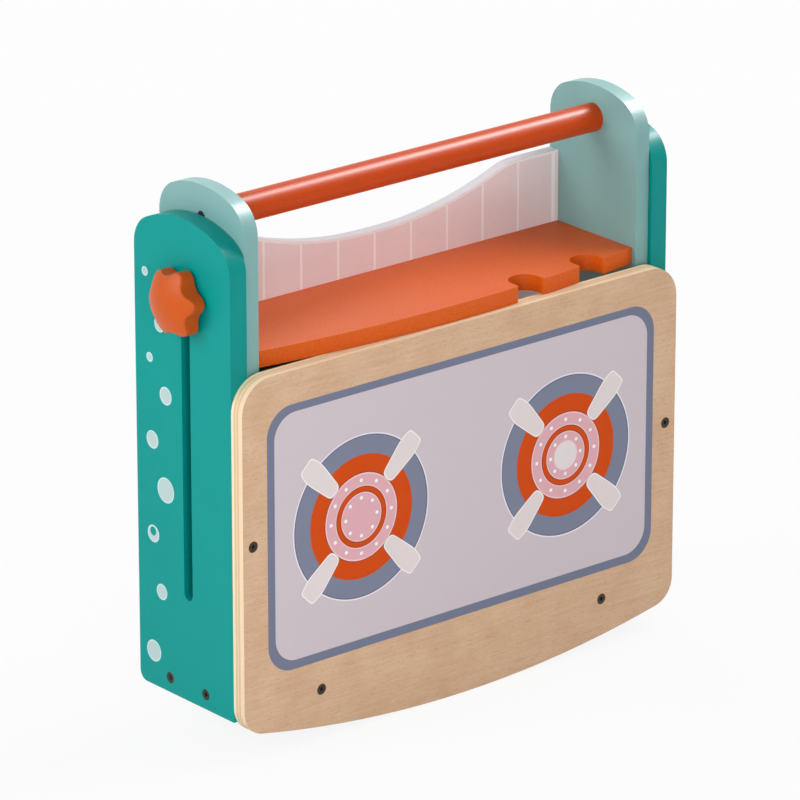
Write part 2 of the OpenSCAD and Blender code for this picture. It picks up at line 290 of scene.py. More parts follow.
def lacquer(name, code, gloss=0.32, peel=0.35, print_over=None, speckle=0.05,
            sheen=SHEEN):
    """Sprayed satin lacquer in one colour, with an optional print on top."""
    made, tree = new_material(name)
    point = add(tree, "ShaderNodeTexCoord", out="Object")
    tone = add(tree, "ShaderNodeMapRange", {"Value": noise_at(tree, point, TONE_MM),
                                            "To Min": 0.95, "To Max": 1.05})
    grain = add(tree, "ShaderNodeMapRange", {"Value": noise_at(tree, point, PEEL_MM, 3.0),
                                             "From Min": 0.25, "From Max": 0.75,
                                             "To Min": 1 - speckle, "To Max": 1 + speckle})
    both = add(tree, "ShaderNodeMath", {0: tone, 1: grain}, operation="MULTIPLY")
    paint = add(tree, "ShaderNodeVectorMath", {0: colour(code)[:3], "Scale": both},
                operation="SCALE")
    if print_over:
        paint = print_over(tree, point, paint)
    skin = noise_at(tree, point, PEEL_MM)
    bumps = add(tree, "ShaderNodeBump", {"Height": skin, "Strength": peel,
                                         "Distance": 0.05 * MM})
    shader = add(tree, "ShaderNodeBsdfPrincipled",
                 {"Base Color": paint, "Roughness": gloss, "IOR": 1.48, "Normal": bumps,
                  "Specular IOR Level": sheen})
    add(tree, "ShaderNodeOutputMaterial", {"Surface": shader})
    return made


# %% [markdown]
# The side boards carry a print of bubbles that rise behind the slot. Each bubble is a disc in the
# board's own plane, given by its middle and radius in millimetres. One of them is a ring. A disc
# is a distance compared with a radius, and a thin ramp between them keeps its edge clean.

# %% Bubble print
BUBBLES_MM = [
    (94.2, 307.3, 3.4), (78.6, 272.4, 5.6), (90.1, 245.5, 3.5), (72.6, 221.5, 6.6),
    (88.2, 185.1, 6.6), (73.9, 151.3, 9.3), (88.6, 114.8, 6.4), (79.8, 73.5, 5.9),
    (89.8, 26.0, 8.0),
]
RING_HOLE_MM = (88.9, 116.6, 3.3)
PRINT_EDGE = 0.12 * MM


def disc(tree, point, centre, radius, plane):
    """1 inside a disc and 0 outside it; plane holds 1 for each axis that counts."""
    flat = add(tree, "ShaderNodeVectorMath", {0: point, 1: plane}, operation="MULTIPLY")
    away = add(tree, "ShaderNodeVectorMath", {0: flat, 1: centre * Vector(plane)},
               operation="DISTANCE", out="Value")
    return add(tree, "ShaderNodeMapRange",
               {"Value": away, "From Min": radius + PRINT_EDGE, "From Max": radius - PRINT_EDGE})


def bubble_print(tree, point, paint):
    """Pale discs with a brighter rim over the lacquer."""
    plane = (0, 1, 1)
    shown = 0.0
    inner = 0.0
    for y, z, radius in BUBBLES_MM:
        spot = disc(tree, point, home(0, y, z), radius * MM, plane)
        shown = add(tree, "ShaderNodeMath", {0: shown, 1: spot}, operation="MAXIMUM")
        spot = disc(tree, point, home(0, y, z), (radius - 0.8) * MM, plane)
        inner = add(tree, "ShaderNodeMath", {0: inner, 1: spot}, operation="MAXIMUM")
    y, z, radius = RING_HOLE_MM
    hole = disc(tree, point, home(0, y, z), radius * MM, plane)
    shown = add(tree, "ShaderNodeMath", {0: shown, 1: hole}, operation="SUBTRACT",
                use_clamp=True)
    pale = add(tree, "ShaderNodeMix", {FACTOR: inner, COLOUR_A: colour("c6dede"),
                                       COLOUR_B: colour("b1c8c7")},
               out=MIXED, data_type="RGBA")
    return add(tree, "ShaderNodeMix", {FACTOR: shown, COLOUR_A: paint, COLOUR_B: pale},
               out=MIXED, data_type="RGBA")


# %% [markdown]
# One call makes each finish. The side boards take a deep teal and the end boards a paler one with
# a stronger shine; the side boards' plain teal is a little darker than their printed face's, which
# paints shade on their edges. The shelf and the rod take an orange with a coarser peel. One white
# is for the splashback's own board, and a brighter one is for the border round its print, which
# also paints the highlight along its front top edge.

# %% The lacquers of this object
# The plain teal is a little darker than the bubble-printed one: painted shade on the edges.
teal = lacquer("teal_satin_lacquer", "008c87", gloss=0.38, speckle=0.03, sheen=0.16)
teal_bubbles = lacquer("teal_satin_lacquer_bubble_print", "00908a", print_over=bubble_print,
                       speckle=0.03)
pale_teal = lacquer("pale_teal_satin_lacquer", "77a6a4", gloss=0.45, peel=0.7, speckle=0.05,
                    sheen=0.7)
orange = lacquer("orange_satin_lacquer", "d65b10", gloss=0.4, peel=1.0, speckle=0.16,
                 sheen=0.24)
rod_orange = lacquer("orange_gloss_lacquer_on_beech", "c14204", gloss=0.38, peel=1.0,
                     speckle=0.12, sheen=0.2)
white = lacquer("white_satin_lacquer", "c9c5ca", speckle=0.02)
# A print border, made brighter so that it also paints the highlight along the front top edge.
border_white_and_painted_highlight = lacquer("white_print_border_and_painted_highlight", "fbf7f8", speckle=0.02)

# %% [markdown]
# Birch plywood. The hob panel is twelve millimetres thick. Its faces are rotary-cut veneer: pale,
# with fine streaks along the sheet and short darker flecks where the knife crossed a vessel. Its
# edges show the plies, each turned a quarter against the next, with a thin line of glue between.
# The two need separate materials, because a veneer pattern would wrap round the edge.

# %% Birch veneer
STREAK_LONG_MM, STREAK_WIDE_MM = 34, 1.7
FLECK_LONG_MM, FLECK_WIDE_MM = 3.5, 0.7


def birch(name, print_over=None):
    """Clear-coated rotary-cut birch veneer, grain along X, with an optional print on top."""
    made, tree = new_material(name)
    point = add(tree, "ShaderNodeTexCoord", out="Object")
    long_way = 1 / (STREAK_LONG_MM * MM)
    wide_way = 1 / (STREAK_WIDE_MM * MM)
    stretched = add(tree, "ShaderNodeMapping",
                    {"Vector": point, "Scale": (long_way, wide_way, wide_way)})
    streaks = add(tree, "ShaderNodeTexNoise", {"Vector": stretched, "Scale": 1.0, "Detail": 5.0,
                                               "Distortion": 0.8})
    cloud = noise_at(tree, point, 28, 3.0)
    mixed = add(tree, "ShaderNodeMath", {0: streaks, 1: cloud}, operation="ADD")
    even = add(tree, "ShaderNodeMapRange", {"Value": mixed, "From Min": 0.75, "From Max": 1.25})
    wood = add(tree, "ShaderNodeMix", {FACTOR: even, COLOUR_A: colour("cea888"),
                                       COLOUR_B: colour("d9b898")},
               out=MIXED, data_type="RGBA")
    fine = add(tree, "ShaderNodeMapping",
               {"Vector": point, "Scale": (1 / (FLECK_LONG_MM * MM), 1 / (FLECK_WIDE_MM * MM),
                                           1 / (FLECK_WIDE_MM * MM))})
    flecks = add(tree, "ShaderNodeTexNoise", {"Vector": fine, "Scale": 1.0, "Detail": 2.0})
    dark = add(tree, "ShaderNodeMapRange", {"Value": flecks, "From Min": 0.56, "From Max": 0.72,
                                            "To Max": 0.5})
    face = add(tree, "ShaderNodeMix", {FACTOR: dark, COLOUR_A: wood,
                                       COLOUR_B: colour("b0876a")},
               out=MIXED, data_type="RGBA")
    if print_over:
        face = print_over(tree, point, face)
    bumps = add(tree, "ShaderNodeBump", {"Height": flecks, "Strength": 0.25,
                                         "Distance": 0.04 * MM})
    shader = add(tree, "ShaderNodeBsdfPrincipled",
                 {"Base Color": face, "Roughness": 0.46, "IOR": 1.48, "Normal": bumps,
                  "Specular IOR Level": SHEEN})
    add(tree, "ShaderNodeOutputMaterial", {"Surface": shader})
    return made


# %% [markdown]
# Ply edge. The veneers are told apart by how far back from the hob's face they lie, as shares of
# the thickness. A ramp with constant steps holds them, so each glue line is a clean step in tone.
# A slow wobble keeps the lines from being ruled straight, and pores come from finer noise.

# %% Ply edge
PLIES = [                                   # where each veneer starts, and its colour
    (0.0, "e8cfae"), (0.355, "c9a680"), (0.375, "d8ba95"), (0.485, "c9a680"), (0.505, "e8cfae"),
    (0.605, "c9a680"), (0.625, "d8ba95"), (0.745, "c9a680"), (0.765, "e6d9b8"),
]


def constant_ramp(tree, share, steps):
    """A colour ramp that holds each colour until the next one starts."""
    ramp = tree.nodes.new("ShaderNodeValToRGB")
    ramp.color_ramp.interpolation = "CONSTANT"
    stops = ramp.color_ramp.elements
    stops[0].position, stops[0].color = steps[0]
    stops.remove(stops[1])
    for start, tone in steps[1:]:
        stops.new(start).color = tone
    tree.links.new(share, ramp.inputs[0])
    return ramp.outputs


def ply_edge(name):
    """Sawn and sanded edge of a birch ply board that is thick along Y."""
    made, tree = new_material(name)
    point = add(tree, "ShaderNodeTexCoord", out="Object")
    across = add(tree, "ShaderNodeSeparateXYZ", {"Vector": point}, out="Y")
    wobble = add(tree, "ShaderNodeMapRange", {"Value": noise_at(tree, point, 25),
                                              "To Min": -0.2 * MM, "To Max": 0.2 * MM})
    moved = add(tree, "ShaderNodeMath", {0: across, 1: wobble}, operation="ADD")
    depth = add(tree, "ShaderNodeMapRange", {"Value": moved, "From Min": panel_low.y,
                                             "From Max": panel_high.y})
    sawn = constant_ramp(tree, depth, [(start, colour(code)) for start, code in PLIES])["Color"]
    pores = noise_at(tree, point, 0.9, 3.0)
    bumps = add(tree, "ShaderNodeBump", {"Height": pores, "Strength": 0.3,
                                         "Distance": 0.05 * MM})
    shader = add(tree, "ShaderNodeBsdfPrincipled",
                 {"Base Color": sawn, "Roughness": 0.55, "IOR": 1.48, "Normal": bumps,
                  "Specular IOR Level": SHEEN})
    add(tree, "ShaderNodeOutputMaterial", {"Surface": shader})
    return made


# %% [markdown]
# The hob print. It is flat ink on the veneer: a grey-blue frame, a lavender field, and two burners
# drawn as rings with round flame holes and four pan supports. Everything is worked out from
# distances in the panel's plane, so it stays sharp at any size. The picture is the same on both
# sides of the middle, so the pattern is folded there and drawn once.

# %% Hob print: sizes in millimetres
FRAME_OUT = (178.5, 32.5, 229.0, 22.0)      # half width, low, high, corner radius
FRAME_IN = (172.0, 39.2, 223.2, 19.0)
BURNER_X, BURNER_Z = 94.7, 131.0
RINGS = [                                   # outer radius and colour, from the middle out
    (17.2, "dfabb4"), (18.1, "eccbcd"), (18.9, "a93a18"), (21.6, "d04a08"), (22.4, "a93a18"),
    (23.3, "eccbcd"), (31.2, "dfabb4"), (32.1, "eccbcd"), (33.0, "a93a18"), (45.9, "d04a08"),
    (59.2, "7d8297"), (60.0, "636a80"), (61.2, "e9e4ee"),
]
CENTRE_DISC = 10.3
HOLE_RINGS = [(12, 27.2), (8, 14.1)]        # how many flame holes, and how far out
CENTRE_RIM = (11.3, 11.0)                   # where the centre disc's pale rim starts and is full
HALO = (2.35, 1.9)                          # the same for the shade round a flame hole
DOT = (1.55, 1.15)                          # and for the white hole in it
SUPPORT = {"inner": 32.6, "outer": 70.0, "widest": 61.0, "half_in": 5.4, "half_wide": 9.2,
           "half_out": 6.8}
SUPPORT_CORNERS = (4.0, 7.0, 4.0)           # how softly a support's walls meet
SUPPORT_INKS = [(0.75, "4a3a44", 0.42), (0.3, "f6f0ee", 1.0), (-0.5, "e2d7d7", 1.0)]
SHADE_REACH = 60.5                          # a support's dark outline stays on the rings


def round_box(tree, x, z, box):
    """1 inside a rectangle with round corners that is centred on X."""
    half, low, high, corner = [v * MM for v in box]
    middle_z = side_low.z + (low + high) / 2
    centred = add(tree, "ShaderNodeMath", {0: z, 1: middle_z}, operation="SUBTRACT")
    point = add(tree, "ShaderNodeCombineXYZ", {"X": x, "Z": centred})
    folded = add(tree, "ShaderNodeVectorMath", {0: point}, operation="ABSOLUTE")
    core = (half - corner, 0, (high - low) / 2 - corner)
    past = add(tree, "ShaderNodeVectorMath", {0: folded, 1: core}, operation="SUBTRACT")
    kept = add(tree, "ShaderNodeVectorMath", {0: past, 1: (0, 0, 0)}, operation="MAXIMUM")
    away = add(tree, "ShaderNodeVectorMath", {0: kept}, operation="LENGTH", out="Value")
    return add(tree, "ShaderNodeMapRange", {"Value": away, "From Min": corner + PRINT_EDGE,
                                            "From Max": corner - PRINT_EDGE})


def over(tree, below, code, mask):
    """Ink of one colour over what is below it, where the mask is 1."""
    return add(tree, "ShaderNodeMix", {FACTOR: mask, COLOUR_A: below, COLOUR_B: colour(code)},
               out=MIXED, data_type="RGBA")


# %% [markdown]
# A burner is a constant ramp over the distance from its middle, as the ply edge is over depth. The
# flame holes are one dot in one slice of the circle, because the angle is folded before the dot is
# drawn. A pan support is the overlap of four straight walls, with its corners rounded by the blend.

# %% Hob print: rings, flame holes and pan supports
def burner_rings(tree, away, below):
    """Rings by distance from the burner's middle; outside the last one, what is below shows."""
    reach = RINGS[-1][0] * 1.1 * MM
    share = add(tree, "ShaderNodeMath", {0: away, 1: reach}, operation="DIVIDE")
    starts = [0.0] + [radius * MM / reach for radius, _ in RINGS]
    tones = [colour(code) for _, code in RINGS] + [(0, 0, 0, 0)]
    rings = constant_ramp(tree, share, list(zip(starts, tones)))
    return add(tree, "ShaderNodeMix", {FACTOR: rings["Alpha"], COLOUR_A: below,
                                       COLOUR_B: rings["Color"]},
               out=MIXED, data_type="RGBA")


def flame_holes(tree, away, angle, count, radius, below):
    """A ring of white dots: the angle is folded into one slice, so that one dot serves all."""
    slice_half = math.pi / count
    folded = add(tree, "ShaderNodeMath", {0: angle, 1: slice_half, 2: -slice_half},
                 operation="WRAP")
    cos = add(tree, "ShaderNodeMath", {0: folded}, operation="COSINE")
    sin = add(tree, "ShaderNodeMath", {0: folded}, operation="SINE")
    x = add(tree, "ShaderNodeMath", {0: away, 1: cos}, operation="MULTIPLY")
    y = add(tree, "ShaderNodeMath", {0: away, 1: sin}, operation="MULTIPLY")
    point = add(tree, "ShaderNodeCombineXYZ", {"X": x, "Y": y})
    soft = add(tree, "ShaderNodeVectorMath", {0: point, 1: (radius * MM, 0, 0)},
               operation="DISTANCE", out="Value")
    halo = add(tree, "ShaderNodeMapRange", {"Value": soft, "From Min": HALO[0] * MM,
                                            "From Max": HALO[1] * MM, "To Max": 0.7})
    dot = add(tree, "ShaderNodeMapRange", {"Value": soft, "From Min": DOT[0] * MM,
                                           "From Max": DOT[1] * MM})
    return over(tree, over(tree, below, "d3b6ba", halo), "faf3f3", dot)


def support_distance(tree, x, z):
    """How far outside a pan support a point is; supports lie on the four diagonals."""
    side_x = add(tree, "ShaderNodeMath", {0: x}, operation="ABSOLUTE")
    side_z = add(tree, "ShaderNodeMath", {0: z}, operation="ABSOLUTE")
    total = add(tree, "ShaderNodeMath", {0: side_x, 1: side_z}, operation="ADD")
    out_way = add(tree, "ShaderNodeMath", {0: total, 1: math.sqrt(0.5)}, operation="MULTIPLY")
    gap = add(tree, "ShaderNodeMath", {0: side_x, 1: side_z}, operation="SUBTRACT")
    lean = add(tree, "ShaderNodeMath", {0: gap, 1: math.sqrt(0.5)}, operation="MULTIPLY")
    across = add(tree, "ShaderNodeMath", {0: lean}, operation="ABSOLUTE")
    s = {k: v * MM for k, v in SUPPORT.items()}
    flare = (s["half_wide"] - s["half_in"]) / (s["widest"] - s["inner"])
    taper = (s["half_out"] - s["half_wide"]) / (s["outer"] - s["widest"])
    walls = []
    for slope, start in ((flare, s["half_in"] - flare * s["inner"]),
                         (taper, s["half_wide"] - taper * s["widest"])):
        edge = add(tree, "ShaderNodeMath", {0: out_way, 1: slope, 2: start},
                   operation="MULTIPLY_ADD")
        walls.append(add(tree, "ShaderNodeMath", {0: across, 1: edge}, operation="SUBTRACT"))
    walls.append(add(tree, "ShaderNodeMath", {0: s["inner"], 1: out_way}, operation="SUBTRACT"))
    walls.append(add(tree, "ShaderNodeMath", {0: out_way, 1: s["outer"]}, operation="SUBTRACT"))
    worst = walls[0]
    for wall, rounding in zip(walls[1:], SUPPORT_CORNERS):
        worst = add(tree, "ShaderNodeMath", {0: worst, 1: wall, 2: rounding * MM},
                    operation="SMOOTH_MAX")
    return worst


def hob_print(tree, point, below):
    """The whole hob in flat ink."""
    axes = tree.nodes.new("ShaderNodeSeparateXYZ")
    tree.links.new(point, axes.inputs[0])
    ink = over(tree, below, "747a90", round_box(tree, axes.outputs["X"], axes.outputs["Z"],
                                                 FRAME_OUT))
    ink = over(tree, ink, "cdc2c8", round_box(tree, axes.outputs["X"], axes.outputs["Z"],
                                               FRAME_IN))
    folded = add(tree, "ShaderNodeMath", {0: axes.outputs["X"]}, operation="ABSOLUTE")
    x = add(tree, "ShaderNodeMath", {0: folded, 1: BURNER_X * MM}, operation="SUBTRACT")
    z = add(tree, "ShaderNodeMath", {0: axes.outputs["Z"], 1: side_low.z + BURNER_Z * MM},
            operation="SUBTRACT")
    place = add(tree, "ShaderNodeCombineXYZ", {"X": x, "Y": z})
    away = add(tree, "ShaderNodeVectorMath", {0: place}, operation="LENGTH", out="Value")
    angle = add(tree, "ShaderNodeMath", {0: z, 1: x}, operation="ARCTAN2")
    ink = burner_rings(tree, away, ink)
    near = add(tree, "ShaderNodeMapRange", {"Value": away,
                                            "From Min": CENTRE_DISC * MM + PRINT_EDGE,
                                            "From Max": CENTRE_DISC * MM - PRINT_EDGE})
    rim = add(tree, "ShaderNodeMapRange", {"Value": away, "From Min": CENTRE_RIM[0] * MM,
                                           "From Max": CENTRE_RIM[1] * MM})
    on_right = add(tree, "ShaderNodeMath", {0: axes.outputs["X"], 1: 0.0},
                   operation="GREATER_THAN")
    rim = add(tree, "ShaderNodeMath", {0: rim, 1: on_right}, operation="MULTIPLY")
    near = add(tree, "ShaderNodeMath", {0: near, 1: on_right}, operation="MULTIPLY")
    ink = over(tree, over(tree, ink, "eccbcd", rim), "e3dadb", near)
    for count, radius in HOLE_RINGS:
        ink = flame_holes(tree, away, angle, count, radius, ink)
    outside = support_distance(tree, x, z)
    for grow, code, strength in SUPPORT_INKS:
        mask = add(tree, "ShaderNodeMapRange", {"Value": outside,
                                                "From Min": grow * MM + PRINT_EDGE,
                                                "From Max": grow * MM - PRINT_EDGE,
                                                "To Max": strength})
        if strength < 1:
            on_rings = add(tree, "ShaderNodeMath", {0: away, 1: SHADE_REACH * MM},
                           operation="LESS_THAN")
            mask = add(tree, "ShaderNodeMath", {0: mask, 1: on_rings}, operation="MULTIPLY")
        ink = over(tree, ink, code, mask)
    return ink


printed_birch = birch("birch_veneer_printed_hob", print_over=hob_print)
clear_birch = birch("birch_veneer_clear_coat")
sawn_ply = ply_edge("birch_ply_sanded_edge")

# %% [markdown]
# The splashback is white-lacquered board with a print of tall tiles: a pink field with pale joint
# lines every 33.6 millimetres. The last joint at each end is drawn wider.

# %% Tile print
TILE_MM = 33.6
JOINT_MM = 1.0


def tile_print(tree, point, below):
    """Pink tiles with pale joints, by distance from the nearest joint."""
    x = add(tree, "ShaderNodeSeparateXYZ", {"Vector": point}, out="X")
    away = add(tree, "ShaderNodeMath", {0: x, 1: TILE_MM / 2 * MM}, operation="PINGPONG")
    size = add(tree, "ShaderNodeMath", {0: x}, operation="ABSOLUTE")
    last = add(tree, "ShaderNodeMath", {0: size, 1: 4.5 * TILE_MM * MM},
               operation="GREATER_THAN")
    width = add(tree, "ShaderNodeMapRange", {"Value": last, "To Min": JOINT_MM * MM,
                                             "To Max": 1.6 * JOINT_MM * MM})
    past = add(tree, "ShaderNodeMath", {0: away, 1: width}, operation="SUBTRACT")
    joint = add(tree, "ShaderNodeMapRange", {"Value": past, "From Min": PRINT_EDGE * 2,
                                             "From Max": -PRINT_EDGE * 2})
    return over(tree, below, "fffdfd", joint)


tiles = lacquer("pink_tile_print_on_lacquer", "f2e4e7", print_over=tile_print,
                speckle=0.03, sheen=0.3)

# %% [markdown]
# Hardware. The screws are black oxide on steel, which is nearly black with a soft sheen. The clamp
# bolts and washers are bright zinc, and the inserts are turned brass. The knobs are moulded ABS:
# one through-coloured plastic with a fine spark-eroded texture from the mould.

# %% Metals and plastic
def metal(name, code, roughness, grain_mm=0.5):
    """A bare or plated metal with fine machining variation in its roughness."""
    made, tree = new_material(name)
    point = add(tree, "ShaderNodeTexCoord", out="Object")
    fine = noise_at(tree, point, grain_mm, 3.0)
    rough = add(tree, "ShaderNodeMapRange", {"Value": fine, "To Min": roughness - 0.08,
                                             "To Max": roughness + 0.08})
    shader = add(tree, "ShaderNodeBsdfPrincipled",
                 {"Base Color": colour(code), "Metallic": 1.0, "Roughness": rough})
    add(tree, "ShaderNodeOutputMaterial", {"Surface": shader})
    return made


def moulded(name, code, texture_mm=0.9):
    """Through-coloured plastic with a matt mould texture."""
    made, tree = new_material(name)
    point = add(tree, "ShaderNodeTexCoord", out="Object")
    texture = noise_at(tree, point, texture_mm, 3.0)
    tone = add(tree, "ShaderNodeMapRange", {"Value": texture, "From Min": 0.25, "From Max": 0.75,
                                            "To Min": 0.95, "To Max": 1.05})
    body = add(tree, "ShaderNodeVectorMath", {0: colour(code)[:3], "Scale": tone},
               operation="SCALE")
    bumps = add(tree, "ShaderNodeBump", {"Height": texture, "Strength": 0.4,
                                         "Distance": 0.04 * MM})
    shader = add(tree, "ShaderNodeBsdfPrincipled",
                 {"Base Color": body, "Roughness": 0.42, "IOR": 1.53, "Normal": bumps,
                  "Specular IOR Level": 0.25})
    add(tree, "ShaderNodeOutputMaterial", {"Surface": shader})
    return made


black_oxide = metal("black_oxide_steel", "4a3f39", 0.5)
zinc = metal("bright_zinc_plated_steel", "b9bbbe", 0.3)
brass = metal("turned_brass", "c2a35a", 0.28)
abs_orange = moulded("orange_abs", "c04f06")

# %% [markdown]
# Softened boards. A drawing has knife edges, but a sanded and lacquered board is round along every
# edge, and that thin curve is what catches the light. Each board is a copy of the drawn solid:
# its loose triangles are merged, flat faces are joined, and the outline edges get a small bevel.
# Edges of screw holes and slots stay sharp, because a bevel there would run into the next edge.

# %% Helpers for boards
SHARP = math.radians(35)


def solid_copy(node):
    """A mesh of a drawn solid, with its triangles joined into plain faces."""
    bm = bmesh.new()
    bm.from_mesh(frame["nodes"][node].data)
    bmesh.ops.remove_doubles(bm, verts=bm.verts, dist=0.002 * MM)
    bmesh.ops.dissolve_limit(bm, angle_limit=math.radians(0.4), verts=bm.verts, edges=bm.edges)
    return bm


def soften(bm, width_mm, where, segments=3):
    """Rounds each sharp edge whose middle passes the test, and says how many there were."""
    chosen = [e for e in bm.edges if len(e.link_faces) == 2 and e.calc_face_angle() > SHARP
              and where((e.verts[0].co + e.verts[1].co) / 2)]
    bmesh.ops.bevel(bm, geom=chosen, offset=width_mm * MM, offset_type="OFFSET",
                    segments=segments, profile=0.5, affect="EDGES", clamp_overlap=True,
                    material=-1)
    return len(chosen)


def finished(bm, name, nodes, materials, face_slot=None):
    """Turns a bmesh into a piece that stands for drawn nodes and moves with their body."""
    bm.normal_update()
    for face in bm.faces:
        face.smooth = True
        face.material_index = face_slot(face) if face_slot else 0
    for edge in bm.edges:
        if len(edge.link_faces) == 2:
            edge.smooth = edge.calc_face_angle() < SHARP
    mesh = bpy.data.meshes.new(name)
    bm.to_mesh(mesh)
    bm.free()
    for material in materials:
        mesh.materials.append(material)
    piece = bpy.data.objects.new(name, mesh)
    bpy.context.scene.collection.objects.link(piece)
    even = piece.modifiers.new("even_shading", "WEIGHTED_NORMAL")
    even.keep_sharp = True
    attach(piece, frame["nodes"][nodes[0]]["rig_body"])
    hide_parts(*nodes)
    print(f"{name}: {len(mesh.polygons)} faces")
    return piece


# %% [markdown]
# Screws sit where the drawing has them. Each drawn screw is one island of its node's mesh, so its
# head and direction can be read from the island's shape: the wide end is the head.

# %% Where the screws are
SCREW_NODES = [n for n in frame["nodes"] if n.endswith("_screws")]


def islands(bm):
    """The separate lumps of a mesh, as lists of points."""
    left = set(bm.verts)
    while left:
        lump, edge_of_lump = [], [left.pop()]
        while edge_of_lump:
            vert = edge_of_lump.pop()
            lump.append(vert.co.copy())
            for edge in vert.link_edges:
                other = edge.other_vert(vert)
                if other in left:
                    left.remove(other)
                    edge_of_lump.append(other)
        yield lump


def screw_places(node):
    """The middle of each head's face in a screw node, and the way the screw points."""
    bm = bmesh.new()
    bm.from_mesh(frame["nodes"][node].data)
    bmesh.ops.remove_doubles(bm, verts=bm.verts, dist=0.002 * MM)
    found = []
    for lump in islands(bm):
        low = Vector([min(p[i] for p in lump) for i in range(3)])
        high = Vector([max(p[i] for p in lump) for i in range(3)])
        axis = max(range(3), key=lambda i: (high - low)[i])
        middle = (low + high) / 2
        wide = max((p - middle).length for p in lump if p[axis] < low[axis] + MM)
        other = max((p - middle).length for p in lump if p[axis] > high[axis] - MM)
        head = middle.copy()
        way = Vector((0, 0, 0))
        head[axis], way[axis] = (low[axis], 1) if wide > other else (high[axis], -1)
        found.append((head, way))
    bm.free()
    return sorted(found, key=lambda screw: tuple(screw[0]))


PLACES = {node: screw_places(node) for node in SCREW_NODES}
HEADS = [head for found in PLACES.values() for head, _ in found]
print(len(HEADS), "screws in", len(PLACES), "groups")

# %% [markdown]
# A cross-recess screw head. A circle is drawn out ring by ring into rim, cone and shank. Then the
# cross is cut: two thin wedges, narrower at the bottom, are taken out of the head one after the
# other. It is modelled once and copied to every place.

# %% Cross-recess screw
HEAD_R, SHANK_R, SCREW_LONG = 4.1, 2.0, 34.0
TOP_R = HEAD_R - 0.25
RIM_DEEP = 0.22                             # the head's edge is rounded this far down
PROFILE = [(HEAD_R, RIM_DEEP), (HEAD_R, 0.4), (SHANK_R, 2.5), (SHANK_R, SCREW_LONG)]
ARM_MM = (5.4, 1.35, 3.8)                   # length, width and depth of a recess arm, half sunk
ARM_TAPER = (0.45, 0.6, 1)


def arm(turned):
    """One wedge of the cross, as a cutter object."""
    bm = bmesh.new()
    bmesh.ops.create_cube(bm, size=1.0)
    bmesh.ops.scale(bm, vec=[size * MM for size in ARM_MM], verts=bm.verts)
    deep = [v for v in bm.verts if v.co.z > 0]
    bmesh.ops.scale(bm, vec=ARM_TAPER, verts=deep)
    bmesh.ops.rotate(bm, matrix=Matrix.Rotation(turned, 3, "Z"), verts=bm.verts)
    mesh = bpy.data.meshes.new("arm")
    bm.to_mesh(mesh)
    bm.free()
    made = bpy.data.objects.new("arm", mesh)
    bpy.context.scene.collection.objects.link(made)
    return made


def cross_screw():
    """The mesh of a countersunk screw, head at the origin and pointing along +Z."""
    bm = bmesh.new()
    bmesh.ops.create_circle(bm, cap_ends=True, segments=40, radius=TOP_R * MM)
    bmesh.ops.reverse_faces(bm, faces=bm.faces[:])
    edges = bm.edges[:]
    for radius, z in PROFILE:
        grown = bmesh.ops.extrude_edge_only(bm, edges=edges)["geom"]
        verts = [g for g in grown if isinstance(g, bmesh.types.BMVert)]
        edges = [g for g in grown if isinstance(g, bmesh.types.BMEdge)]
        for vert in verts:
            flat = Vector((vert.co.x, vert.co.y, 0)).normalized() * radius * MM
            vert.co = (flat.x, flat.y, z * MM)
    bmesh.ops.contextual_create(bm, geom=edges)
    bmesh.ops.recalc_face_normals(bm, faces=bm.faces)
    mesh = bpy.data.meshes.new("cross_screw")
    bm.to_mesh(mesh)
    bm.free()
    blank = bpy.data.objects.new("cross_screw", mesh)
    bpy.context.scene.collection.objects.link(blank)
    cutters = [arm(0), arm(math.pi / 2)]
    for cutter in cutters:
        cut = blank.modifiers.new("cut", "BOOLEAN")
        cut.operation, cut.solver, cut.object = "DIFFERENCE", "EXACT", cutter
    bpy.context.view_layer.update()
    seen = blank.evaluated_get(bpy.context.evaluated_depsgraph_get())
    made = bpy.data.meshes.new_from_object(seen)
    for extra in (blank, *cutters):
        bpy.data.objects.remove(extra)
    return made


SCREW = cross_screw()
TURNS = [0.3, 1.1, 0.7, 1.4, 0.1]          # hand-driven screws stop at any angle
for node, found in PLACES.items():
    bm = bmesh.new()
    for i, (head, way) in enumerate(found):
        place = Matrix.Translation(head) @ way.to_track_quat("Z", "Y").to_matrix().to_4x4()
        part = bmesh.new()
        part.from_mesh(SCREW)
        bmesh.ops.transform(part, matrix=place @ Matrix.Rotation(TURNS[i % 5], 4, "Z"),
                            verts=part.verts)
        shifted = bpy.data.meshes.new("shifted")
        part.to_mesh(shifted)
        part.free()
        bm.from_mesh(shifted)
        bpy.data.meshes.remove(shifted)
    finished(bm, node + "_cross_recess", [node], [black_oxide])

# %% [markdown]
# Side boards and bottom board. The outer face of each side board gets the bubble print, and the
# rest of the board is plain lacquer, a little darker, which paints shade on the edges and inner
# faces. So the two need different material slots on one mesh.

# %% Side boards and bottom board
SLOT_HALF_MM = 9


def clear_of_heads(point):
    """True where no screw head is near."""
    return all((point - head).length > 6 * MM for head in HEADS)


def off_slot(point):
    """True away from the slots and grooves that the clamp bolts run in."""
    in_line = abs(point.y - CLAMP.y) < SLOT_HALF_MM * MM and point.z < CLAMP.z + 14 * MM
    return clear_of_heads(point) and not (in_line and point.z > side_low.z + 65 * MM)


for side, name in ((-1, "left_side_board"), (1, "right_side_board")):
    bm = solid_copy(name)
    soften(bm, 0.9, off_slot)
    finished(bm, name + "_lacquered", [name], [teal, teal_bubbles],
             lambda face, side=side: 1 if face.normal.x * side > 0.95
             and abs(face.calc_center_median().x) > 0.199 else 0)

bm = solid_copy("bottom_board")
soften(bm, 0.8, clear_of_heads)
finished(bm, "bottom_board_lacquered", ["bottom_board"], [teal])

